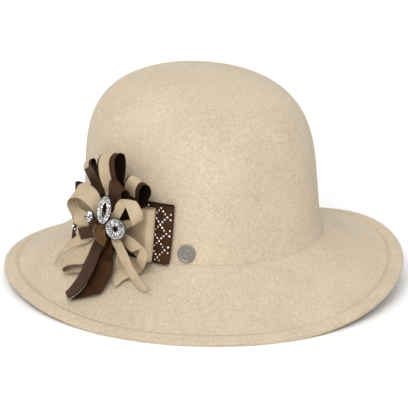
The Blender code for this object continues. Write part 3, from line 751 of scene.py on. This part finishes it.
def makeBand():
    points, lengths = flatLoop(band, bandBack)
    total = lengths[-1]
    low, high = -band["width"] / 2 - band["drop"], band["width"] / 2 - band["drop"]

    def surface(distance, rise):
        side, out = loopAt(points, lengths, distance % total)
        ripple = band["ripple"] * math.sin(rise / (9.0 * mm) + side / (14.0 * mm))
        return place(side, rise, out + crownOut(side, rise) + ripple * min(1.0, abs(side) / (30.0 * mm)))

    def shape(along, across):
        return surface(along * total, low + (high - low) * (across + 0.5))

    piece = gridPiece("studdedBand", 220, 14, shape, lambda a, b: (a * total, b * band["width"]),
                      closeUp=0.001 * mm)
    applyModifier(piece, "SOLIDIFY", thickness=band["cloth"], offset=0.0)
    smoothShade(piece, angle=50)
    finishPiece(piece, materials["brown"], "brown", "studded_band")

    deselectAll()
    bpy.ops.mesh.primitive_cone_add(vertices=8, radius1=1.0, radius2=0.55, depth=1.0, end_fill_type="NGON")
    stone = bpy.context.object
    places = []
    cellWide, cellHigh = band["cell"]
    frontLength = 2 * (band["halfLength"] - band["endRadius"])
    for i in range(-3, 24):  # the crossings, along and up
        for j in range(-6, 7):
            if (i + j) % 2:
                continue
            for sign in (1, -1):
                for step in range(sign < 0, band["dots"]):
                    f = step / band["dots"]
                    distance = (i + f) * cellWide / 2
                    rise = (j + sign * f) * cellHigh / 2
                    onBand = low + band["margin"] < rise < high - band["margin"]
                    if not onBand or not -band["wrap"] < distance < frontLength + band["wrap"]:
                        continue
                    point = surface(distance, rise)
                    ahead = surface(distance + 0.5 * mm, rise) - surface(distance - 0.5 * mm, rise)
                    up = surface(distance, rise + 0.5 * mm) - surface(distance, rise - 0.5 * mm)
                    normal = unit(np.cross(ahead, up))
                    if normal @ outAxis < 0.0 and abs(distance - frontLength / 2) < frontLength / 2:
                        normal = -normal
                    size = band["stone"] * random.uniform(0.92, 1.05)
                    point = point + normal * (band["cloth"] / 2 + band["stoneProud"])
                    places.append(placeMatrix(point, normal, ahead, (size, size, band["stoneHeight"])))
    stones = copyMany(stone, places, "bandStones")
    bpy.data.objects.remove(stone)
    finishPiece(stones, materials["stud"], "stone")
    return piece


def makeBow():
    points, lengths = flatLoop(bow, bowBack)
    total = lengths[-1]

    def shape(along, across):
        side, out = loopAt(points, lengths, along * total)
        half = bowHalfWidth(side)
        rise = half * (2.0 * across - 0.08)
        near = math.exp(-abs(side - band["shift"]) / (13.0 * mm))
        fold = bow["pleat"] * near * math.sin(across * 2.0 * math.pi * 3.5)
        sag = bow["sag"] * math.sin(math.pi * (across + 0.5)) * (1.0 - near)
        return place(side, rise, out + crownOut(side, rise) + fold + sag)

    piece = gridPiece("wideBow", 220, 24, shape, lambda a, b: (a * total, b * bow["endWidth"]),
                      closeUp=0.001 * mm)
    applyModifier(piece, "SOLIDIFY", thickness=bow["cloth"], offset=0.0)
    smoothShade(piece, angle=50)
    finishPiece(piece, materials["beige"], "beige", "wide_bow")
    wide = [2.0 * bowHalfWidth(loopAt(points, lengths, d)[0]) for d in np.linspace(0.0, total, 200)]
    return piece


makeBand()
makeBow()
print("band and bow made")


# the cockade's ribbons
# rows: side, rise and out as shares of the reach, then the turn and lean of the ribbon's width in degrees
# tie and back: the angle round the knot and the height at which an end meets it
ribbons = {
    "right_loop": {
        "width": 17.0, "colour": "brown", "tie": (48, 7.4), "back": (48, 6.1), "facing": (-1.1, 0.22, 0.82),
        "rows": (
            (0.40, 0.38, 0.16, -10, 5), (0.53, 0.59, 0.27, -10, 5), (0.61, 0.75, 0.33, -10, 5),
            (0.69, 0.86, 0.32, -10, 5), (0.71, 0.82, 0.22, -10, 5), (0.67, 0.69, 0.15, -10, 5),
            (0.57, 0.54, 0.12, -10, 5), (0.42, 0.37, 0.125, -10, 0),
        ),
    },
    "small_loop": {
        "width": 14.0, "colour": "brown", "tie": (76, 13.6), "back": (70, 12.3),
        "rows": (
            (0.21, 0.31, 0.33, -15, 0), (0.33, 0.50, 0.40, -30, -12), (0.41, 0.65, 0.48, -30, -5),
            (0.46, 0.75, 0.52, -25, 0), (0.50, 0.79, 0.48, -25, 0), (0.55, 0.76, 0.45, -30, 0),
            (0.50, 0.62, 0.41, -35, -5), (0.30, 0.37, 0.31, -30, 0),
        ),
    },
    "top_loop": {
        "width": 19.0, "colour": "brown", "tie": (90, 10.8), "back": (90, 9.4), "facing": (-1.6, 0.13, 0.86),
        "rows": (
            (0.09, 0.36, 0.24, 15, 0), (0.14, 0.53, 0.28, 15, 0), (0.20, 0.70, 0.39, 15, 0),
            (0.21, 0.88, 0.46, 15, 0), (0.19, 1.03, 0.46, 15, 0), (0.20, 1.13, 0.44, 15, 0),
            (0.22, 1.18, 0.38, 15, 0), (0.23, 1.14, 0.30, 15, 0), (0.20, 1.01, 0.24, 15, 0),
            (0.17, 0.85, 0.22, 15, 0), (0.13, 0.68, 0.21, 15, 0), (0.12, 0.49, 0.21, 15, 0),
        ),
    },
    "left_loop": {
        "width": 17.0, "colour": "brown", "tie": (124, 7.8), "back": (124, 6.5), "facing": (-0.7, 0.38, 0.66),
        "rows": (
            (-0.21, 0.36, 0.155, 30, 0), (-0.25, 0.59, 0.25, 30, 15), (-0.24, 0.79, 0.37, 30, 20),
            (-0.30, 0.87, 0.38, 30, 20), (-0.33, 0.93, 0.33, 30, 20), (-0.37, 0.89, 0.22, 30, 20),
            (-0.41, 0.73, 0.14, 30, 20), (-0.33, 0.56, 0.12, 30, 12), (-0.21, 0.40, 0.15, 20, 0),
        ),
    },
    "upper_left_loop": {
        "width": 13.0, "colour": "beige", "tie": (142, 16.8), "back": (168, 13.5),
        "rows": (
            (-0.07, 0.35, 0.42, 80, -25), (-0.18, 0.46, 0.45, 80, -40), (-0.34, 0.50, 0.46, 80, -40),
            (-0.53, 0.43, 0.44, 80, -40), (-0.65, 0.29, 0.38, 80, -40), (-0.64, 0.15, 0.33, 80, -28),
            (-0.57, 0.00, 0.31, 80, -12),
        ),
    },
    "upper_right_loop": {
        "width": 13.0, "colour": "beige", "tie": (46, 17.3), "back": (4, 13.0),
        "rows": (
            (0.42, 0.35, 0.43, 20, 0), (0.53, 0.50, 0.45, 15, -5), (0.67, 0.58, 0.46, 5, -10),
            (0.80, 0.50, 0.49, 15, -10), (0.86, 0.41, 0.49, 30, -10), (0.84, 0.30, 0.44, 45, -10),
            (0.68, 0.20, 0.34, 35, -5),
        ),
    },
    "lower_left_loop": {
        "width": 16.0, "colour": "beige", "tie": (204, 11.2), "back": (212, 8.6),
        "rows": (
            (-0.26, -0.40, 0.37, -65, 15), (-0.37, -0.53, 0.46, -40, 30), (-0.56, -0.61, 0.48, -25, 35),
            (-0.65, -0.68, 0.53, -5, 40), (-0.74, -0.77, 0.52, 0, 40), (-0.71, -0.82, 0.50, 0, 40),
            (-0.57, -0.77, 0.47, -10, 40), (-0.39, -0.68, 0.42, -20, 30), (-0.22, -0.38, 0.26, -30, 10),
        ),
    },
    "lower_right_loop": {
        "width": 11.0, "colour": "beige", "tie": (318, 10.5), "back": (285, 7.3),
        "rows": (
            (0.51, -0.18, 0.27, 60, -5), (0.66, -0.21, 0.28, 40, 0), (0.80, -0.21, 0.29, -5, 10),
            (0.79, -0.34, 0.31, 0, 5), (0.60, -0.53, 0.23, -30, 10), (0.49, -0.60, 0.31, -35, 15),
            (0.40, -0.67, 0.38, -35, 20), (0.33, -0.76, 0.44, -35, 20), (0.28, -0.79, 0.43, -30, 25),
            (0.27, -0.63, 0.32, -25, 15), (0.22, -0.42, 0.20, -45, 0),
        ),
    },
    "beige_tail_left": {
        "width": 11.0, "colour": "beige", "tie": (196, 16.6), "point": 0.5,
        "rows": (
            (-0.27, -0.23, 0.41, 70, -10), (-0.57, -0.37, 0.37, 70, -10), (-0.82, -0.55, 0.39, 70, -10),
            (-1.01, -0.79, 0.43, 70, -10),
        ),
    },
    "beige_tail_right": {
        "width": 11.0, "colour": "beige", "tie": (310, 15.4), "point": 0.6,
        "rows": (
            (0.35, -0.20, 0.38, 15, 0), (0.44, -0.34, 0.37, 15, 0), (0.58, -0.51, 0.38, 15, 0),
            (0.75, -0.65, 0.39, 15, 0), (0.93, -0.80, 0.37, 15, 0),
        ),
    },
    "brown_tail_left": {
        "width": 14.0, "colour": "brown", "tie": (250, 16.6), "slant": -0.55, "extra": 3.6,
        "rows": (
            (-0.10, -0.37, 0.42, 15, 10), (-0.06, -0.53, 0.58, 15, 10), (-0.07, -0.73, 0.71, 15, 10),
            (-0.16, -0.93, 0.84, 15, 10), (-0.30, -1.07, 0.95, 15, 10),
        ),
    },
    "brown_tail_right": {
        "width": 16.0, "colour": "brown", "tie": (268, 14.0), "slant": 0.75,
        "rows": (
            (0.03, -0.41, 0.36, 0, -10), (0.17, -0.51, 0.49, 0, -10), (0.16, -0.71, 0.57, 0, -10),
            (0.12, -0.91, 0.71, 0, -10), (0.03, -1.07, 0.88, 0, -10),
        ),
    },
    "knot_end_side": {
        "width": 9.0, "colour": "brown",
        "rows": ((-0.04, -0.07, 0.48, -95, 0), (-0.21, -0.12, 0.48, -85, 0), (-0.39, -0.19, 0.47, -70, 0)),
    },
    "knot_end_top": {
        "width": 9.0, "colour": "brown",
        "rows": ((-0.26, 0.12, 0.40, 20, -10), (-0.20, 0.05, 0.39, 20, -5), (-0.155, -0.02, 0.385, 20, 0)),
    },
}
knot = {
    "side": 3.0 * mm,
    "ring": 6.5 * mm,
    "front": 23.2 * mm,
    "foot": 6.2 * mm,
    "radius": 6.2 * mm,
    "folds": 0.35 * mm,
    "pinch": 0.5,  # the narrowest share of a ribbon's width, at the knot
}
ribbonLook = {
    "steps": 96,
    "across": 10,
    "cloth": 0.5 * mm,
    "cup": 0.35 * mm,
    "gather": 0.9 * mm,
    "wave": 0.12 * mm,
    "facing": 11.6 * mm,  # the narrower beige ribbon inside a brown loop, and its lift
    "facingLift": 0.6 * mm,
}


def widthDirection(turn, lean):
    turn, lean = math.radians(turn), math.radians(lean)
    return np.array((math.cos(lean) * math.cos(turn), math.cos(lean) * math.sin(turn), math.sin(lean)))


def knotRow(angle, height, like):
    # where a ribbon's end meets the knot, its width lying round it
    turn = math.radians(angle)
    across = np.array((-math.sin(turn), math.cos(turn), 0.0))
    if across @ like < 0.0:
        across = -across
    return (knot["side"] + knot["ring"] * math.cos(turn), knot["ring"] * math.sin(turn), height * mm, *across,
            knot["pinch"])


def ribbonFrames(look):
    rows = []
    for side, rise, out, turn, lean in look["rows"]:
        rows.append((*(np.array((side, rise, out)) * cockade["reach"]), *widthDirection(turn, lean), 1.0))
    if "tie" in look:
        rows.insert(0, knotRow(*look["tie"], np.array(rows[0][3:6])))
    if "back" in look:
        rows.append(knotRow(*look["back"], np.array(rows[-1][3:6])))
    rows = smoothRows(rows, ribbonLook["steps"])
    middles = rows[:, :3]
    across = rows[:, 3:6] / np.linalg.norm(rows[:, 3:6], axis=1)[:, None]
    faces = np.cross(np.gradient(middles, axis=0), across)
    faces /= np.linalg.norm(faces, axis=1)[:, None]
    widths = look["width"] * mm * np.clip(rows[:, 6], knot["pinch"], 1.0)
    lengths = np.concatenate(([0.0], np.cumsum(np.linalg.norm(np.diff(middles, axis=0), axis=1))))
    return middles, across, faces, widths, lengths


def makeStrip(name, frames, look, material, slot, node,
              start=0.0, end=1.0, offset=0.0, lift=0.0, width=None):
    middles, across, faces, widths, lengths = frames
    steps = len(middles) - 1
    own = width or look["width"] * mm
    total = lengths[-1]

    def shape(a, b):
        position = start + (end - start) * a
        if "point" in look or "slant" in look:  # the cut end
            slant = look.get("slant", 0.0)
            cut = look.get("point", 0.0) * abs(2.0 * b) + slant * 2.0 * b + abs(slant)
            position *= 1.0 - cut * own / 2 / total
        position *= steps
        index = min(int(position), steps - 1)
        f = position - index
        middle = middles[index] * (1 - f) + middles[index + 1] * f
        sideways = across[index] * (1 - f) + across[index + 1] * f
        outward = faces[index] * (1 - f) + faces[index + 1] * f
        share = (widths[index] * (1 - f) + widths[index + 1] * f) / (look["width"] * mm)
        reach = (offset + b * own) * share
        cup = ribbonLook["cup"] * (0.25 - b * b) * 4.0 * share
        gather = (1.0 - share) * ribbonLook["gather"] * math.cos(b * math.pi * 6.0)
        wave = ribbonLook["wave"] * math.sin(position / steps * 23.0 + b * 3.0)
        return place(*(middle + sideways * reach + outward * (lift + cup + gather + wave)))

    def chart(a, b):
        return float(np.interp((start + (end - start) * a) * steps, range(steps + 1), lengths)), b * own

    columns = max(8, round((end - start) * ribbonLook["steps"]))
    piece = gridPiece(name, columns, ribbonLook["across"], shape, chart)
    twoSided = "back" in look and slot == "brown"
    if twoSided:  # the outer side, and its material, are what the modifier adds
        # the inner side of a brown loop takes the brown painted darker as painted shade
        piece.data.materials.append(materials["brownInside"])
    piece.data.materials.append(material)
    applyModifier(piece, "SOLIDIFY", thickness=ribbonLook["cloth"], offset=0.0,
                  material_offset=int(twoSided), material_offset_rim=int(twoSided))
    smoothShade(piece, angle=50)
    finishPiece(piece, None, slot, node)
    first, last = round(start * steps), round(end * steps)
    long = float(lengths[last] - lengths[first])
    ways = np.diff(middles[first:last + 1], axis=0)
    skew = np.linalg.norm(np.cross(ways, across[first:last]), axis=1)  # the width isn't square to the run
    covered = float(np.sum(skew * widths[first:last]) / (look["width"] * mm) / long)
    if own >= 10 * mm and long >= 10 * mm:
        own * long * covered
    return piece


def pieceName(node):
    words = node.split("_")
    return words[0] + "".join(word.title() for word in words[1:])


def makeRibbons():
    for node, look in ribbons.items():
        frames = ribbonFrames(look)
        name = pieceName(node)
        extra = look.get("extra", 0.0) * mm
        makeStrip(name, frames, look, materials[look["colour"]], look["colour"], node, offset=extra / 2,
                  width=look["width"] * mm + extra)
        if "facing" in look:
            offset, start, end = look["facing"]
            makeStrip(name + "Facing", frames, look, materials["beige"], "beige", node + "_facing", start, end,
                      offset * mm, -ribbonLook["facingLift"], ribbonLook["facing"])


makeRibbons()
print("ribbons made")


# the knot, wrapped in folded ribbon
def makeKnot():
    def shape(along, across):
        turn = 2.0 * math.pi * along
        share = across + 0.5
        out = knot["foot"] + (knot["front"] - knot["foot"]) * share
        folds = knot["folds"] * math.sin(turn * 5.0 + share * 4.0) * math.sin(math.pi * share)
        reach = knot["radius"] * math.sin(math.pi * share) ** 0.55 + folds
        return place(knot["side"] + reach * math.cos(turn), reach * math.sin(turn), out)

    piece = gridPiece("knotCore", 64, 24, shape, lambda a, b: (a * 40 * mm, b * 20 * mm),
                      closeUp=0.001 * mm)
    smoothShade(piece)
    return finishPiece(piece, materials["brown"], "brown", "knot")


knotWraps = {
    "knotWrapA": {"width": 10.0, "rows": (
        (0.02, -0.17, 0.37, 12, 0), (0.05, -0.12, 0.46, 12, 0), (0.07, 0.0, 0.505, 12, 0),
        (0.09, 0.12, 0.455, 12, 0), (0.10, 0.16, 0.38, 12, 0))},
    "knotWrapB": {"width": 10.0, "rows": (
        (-0.08, -0.10, 0.40, 50, 0), (-0.02, -0.06, 0.47, 50, 0), (0.06, 0.0, 0.525, 48, 0),
        (0.15, 0.04, 0.47, 46, 0), (0.19, 0.06, 0.39, 44, 0))},
    "knotFlapRight": {"width": 8.5, "point": 1.1, "rows": (
        (0.10, 0.07, 0.485, 15, -25), (0.125, -0.02, 0.53, 18, -25), (0.155, -0.12, 0.53, 22, -20),
        (0.183, -0.245, 0.50, 25, -15))},
    "knotWing": {"width": 10.0, "slant": -0.45, "rows": (
        (0.03, 0.03, 0.47, 95, 8), (-0.05, 0.045, 0.495, 88, 5), (-0.14, 0.06, 0.485, 80, -5),
        (-0.235, 0.09, 0.45, 72, -12))},
    "knotFlapLeft": {"width": 7.0, "point": 0.9, "rows": (
        (0.00, 0.06, 0.49, 5, 25), (-0.01, -0.02, 0.535, 5, 30), (0.005, -0.10, 0.53, 0, 25),
        (0.03, -0.19, 0.49, 0, 20))},
}


def makeKnotWraps():
    for name, look in knotWraps.items():
        # the wing keeps the plain brown; the other wraps and flaps take the brown painted lighter as a painted
        # highlight
        material, node = ("brown", "knot_end_top") if name == "knotWing" else ("brownFold", "knot")
        makeStrip(name, ribbonFrames(look), look, materials[material], "brown", node)


makeKnot()
makeKnotWraps()
print("knot made")


# the rhinestone rings, sizes in millimetres and places in shares of the reach
rings = {
    "oval_ring": {
        "middle": (0.222, 0.35, 0.525), "long": (9.0, 26.0, 3.0), "face": (0.5, -0.2, 0.84),
        "outer": (12.6, 5.2), "hole": (6.2, 1.3), "rows": 3,
    },
    "round_ring": {
        "middle": (0.38, 0.07, 0.452), "long": (0.0, 1.0, 0.0), "face": (0.35, 0.05, 0.93),
        "outer": (8.2, 8.2), "hole": (1.8, 1.8), "rows": 4,
    },
    "small_ring": {
        "middle": (-0.06, 0.18, 0.55), "long": (0.0, 1.0, 0.0), "face": (-0.3, 0.3, 0.9),
        "outer": (4.4, 4.4), "hole": (1.2, 1.2), "rows": 2,
    },
}
pave = {"thickness": 2.0 * mm, "spacing": 1.5 * mm, "stone": 0.72 * mm, "height": 0.75 * mm, "tilt": 0.12}


def cutStone():
    # a round stone: crown facets up to a flat table, and a straight girdle below
    deselectAll()
    bpy.ops.mesh.primitive_cylinder_add(vertices=8, radius=1.0, depth=0.5, end_fill_type="NGON")
    stone = bpy.context.object
    selectUpward(stone)
    bpy.ops.mesh.extrude_region_move(TRANSFORM_OT_translate={"value": (0.0, 0.0, 0.5)})
    bpy.ops.transform.resize(value=(0.58, 0.58, 1.0))
    bpy.ops.object.mode_set(mode="OBJECT")
    return stone


def makeRings():
    stone = cutStone()
    for node, look in rings.items():
        face = unit(look["face"])
        long = unit(np.array(look["long"]) - face * (np.array(look["long"]) @ face))
        wide = np.cross(long, face)
        middle = np.array(look["middle"]) * cockade["reach"]
        outer, hole = np.array(look["outer"]) * mm, np.array(look["hole"]) * mm

        def spot(turn, share, height):
            far, near = (hole + (outer - hole) * share) * (math.cos(turn), math.sin(turn))
            return place(*(middle + long * far + wide * near + face * height))

        def shape(along, across):
            around = 2.0 * math.pi * (across + 0.5)
            share = 0.5 - 0.5 * math.copysign(abs(math.cos(around)) ** 0.6, math.cos(around))
            height = math.copysign(abs(math.sin(around)) ** 0.6, math.sin(around)) * pave["thickness"] / 2
            return spot(2.0 * math.pi * along, share, height)

        name = pieceName(node)
        base = gridPiece(name, 96, 20, shape, closeUp=0.001 * mm)
        smoothShade(base, angle=60)
        finishPiece(base, materials["setting"], "stone", node)
        places = []
        for row in range(look["rows"]):
            share = (row + 0.5) / look["rows"] * 0.86 + 0.07
            turns = np.linspace(0.0, 2.0 * math.pi, 721)
            line = np.array([spot(turn, share, 0.0) for turn in turns])
            far = np.concatenate(([0.0], np.cumsum(np.linalg.norm(np.diff(line, axis=0), axis=1))))
            count = max(6, int(far[-1] / pave["spacing"]))
            for i in range(count):
                turn = np.interp((i + 0.5 * (row % 2)) / count * far[-1], far, turns)
                rise = pave["thickness"] / 2 - 0.25 * mm - 0.35 * mm * abs(2.0 * share - 1.0) ** 2
                ahead = spot(turn + 0.02, share, 0.0) - spot(turn - 0.02, share, 0.0)
                outward = long * math.cos(turn) + wide * math.sin(turn)
                tilt = turned(*face) + turned(*outward) * (share - 0.5) * 0.7
                tilt = tilt + np.array([random.uniform(-pave["tilt"], pave["tilt"]) for _ in range(3)])
                size = pave["stone"] * random.uniform(0.92, 1.04)
                top = spot(turn, share, rise + 0.3 * mm)
                places.append(placeMatrix(top, tilt, ahead, (size, size, pave["height"])))
        stones = copyMany(stone, places, name + "Stones")
        finishPiece(stones, materials["stone"], "stone", node)
    bpy.data.objects.remove(stone)


makeRings()
print("rings made")


# the small metal badge, left plain
badge = {
    "angle": -136.4,
    "height": 7.2 * mm,
    "radius": 6.8 * mm,
    "thickness": 1.2 * mm,
    "proud": 0.45 * mm,
    # inset and depth of each step of the face, from the rim inwards
    "steps": ((0.06, 0.0), (0.10, 0.12), (0.07, -0.22), (0.28, 0.0), (0.05, 0.10), (0.10, 0.0), (0.05, -0.10)),
}


def makeBadge():
    share = badge["height"] / crown["height"]
    middle = crownPoint(badge["angle"], share)
    side = crownPoint(badge["angle"] + 0.2, share) - crownPoint(badge["angle"] - 0.2, share)
    up = crownPoint(badge["angle"], share + 0.002) - crownPoint(badge["angle"], share - 0.002)
    normal = unit(np.cross(side, up))
    deselectAll()
    bpy.ops.mesh.primitive_cylinder_add(vertices=64, radius=1.0, depth=1.0, location=(0.0, 0.0, 0.5))
    piece = bpy.context.object
    bpy.ops.object.transform_apply(location=True)
    selectUpward(piece)
    for thickness, depth in badge["steps"]:
        bpy.ops.mesh.inset(thickness=thickness, depth=depth)
    bpy.ops.object.mode_set(mode="OBJECT")
    applyModifier(piece, "BEVEL", width=0.03, segments=2, limit_method="ANGLE", angle_limit=math.radians(35))
    size = (badge["radius"], badge["radius"], badge["thickness"])
    piece.data.transform(placeMatrix(middle + normal * badge["proud"], normal, side, size))
    piece.name = piece.data.name = "badgeDisc"
    smoothShade(piece, angle=35)
    return finishPiece(piece, materials["badge"], "badge", "badge")


makeBadge()
print("badge made")


# floor, lights and camera
studio = {
    "floor": 6.0,
    "world": 0.78,
    "lights": {  # power, size, place and target
        "keyLight": (29.0, 1.1, (-1.38, -1.29, 1.48), (0.0, 0.0, 0.08)),
        "floorLight": (12.0, 2.6, (0.5, 0.9, 2.5), (0.5, 0.9, 0.0)),
    },
}
camera = {
    "azimuth": -37.0,
    "elevation": 18.2,
    "distance": 2.2,
    "lens": 252.0,
    "aim": (-0.0034, -0.0057, 0.060),
}


def aimed(shown, spot, target):
    bpy.context.collection.objects.link(shown)
    shown.location = spot
    shown.rotation_euler = (Vector(target) - Vector(spot)).to_track_quat("-Z", "Y").to_euler()


def makeStudio():
    deselectAll()
    bpy.ops.mesh.primitive_plane_add(size=studio["floor"], location=(0.0, 0.0, 0.0))
    floor = bpy.context.object
    floor.name = "studioFloor"
    shader = Shader("paleFloor", Roughness=0.9)
    speck = shader.noise(shader.place(), 8.0)
    shader.feed("Base Color", shader.blend(speck, (0.955, 0.955, 0.955), (0.975, 0.975, 0.975)))
    floor.data.materials.append(shader.material)
    world = bpy.data.worlds.new("studioWorld")
    bpy.context.scene.world = world
    world.use_nodes = True
    sky = world.node_tree.nodes["Background"]
    sky.inputs["Color"].default_value = (1.0, 1.0, 1.0, 1.0)
    sky.inputs["Strength"].default_value = studio["world"]
    for name, (power, size, spot, target) in studio["lights"].items():
        light = bpy.data.lights.new(name, "AREA")
        light.energy, light.size = power, size
        aimed(bpy.data.objects.new(name, light), spot, target)


def makeCamera():
    lens = bpy.data.cameras.new("photoCamera")
    lens.lens, lens.sensor_width = camera["lens"], 36.0
    lens.clip_start, lens.clip_end = 0.05, 50.0
    shown = bpy.data.objects.new("photoCamera", lens)
    a, e = math.radians(camera["azimuth"]), math.radians(camera["elevation"])
    back = Vector((math.sin(a) * math.cos(e), -math.cos(a) * math.cos(e), math.sin(e)))
    aimed(shown, Vector(camera["aim"]) + back * camera["distance"], camera["aim"])
    bpy.context.scene.camera = shown
    bpy.context.scene.view_settings.view_transform = "Standard"


makeStudio()
makeCamera()
print("studio made")
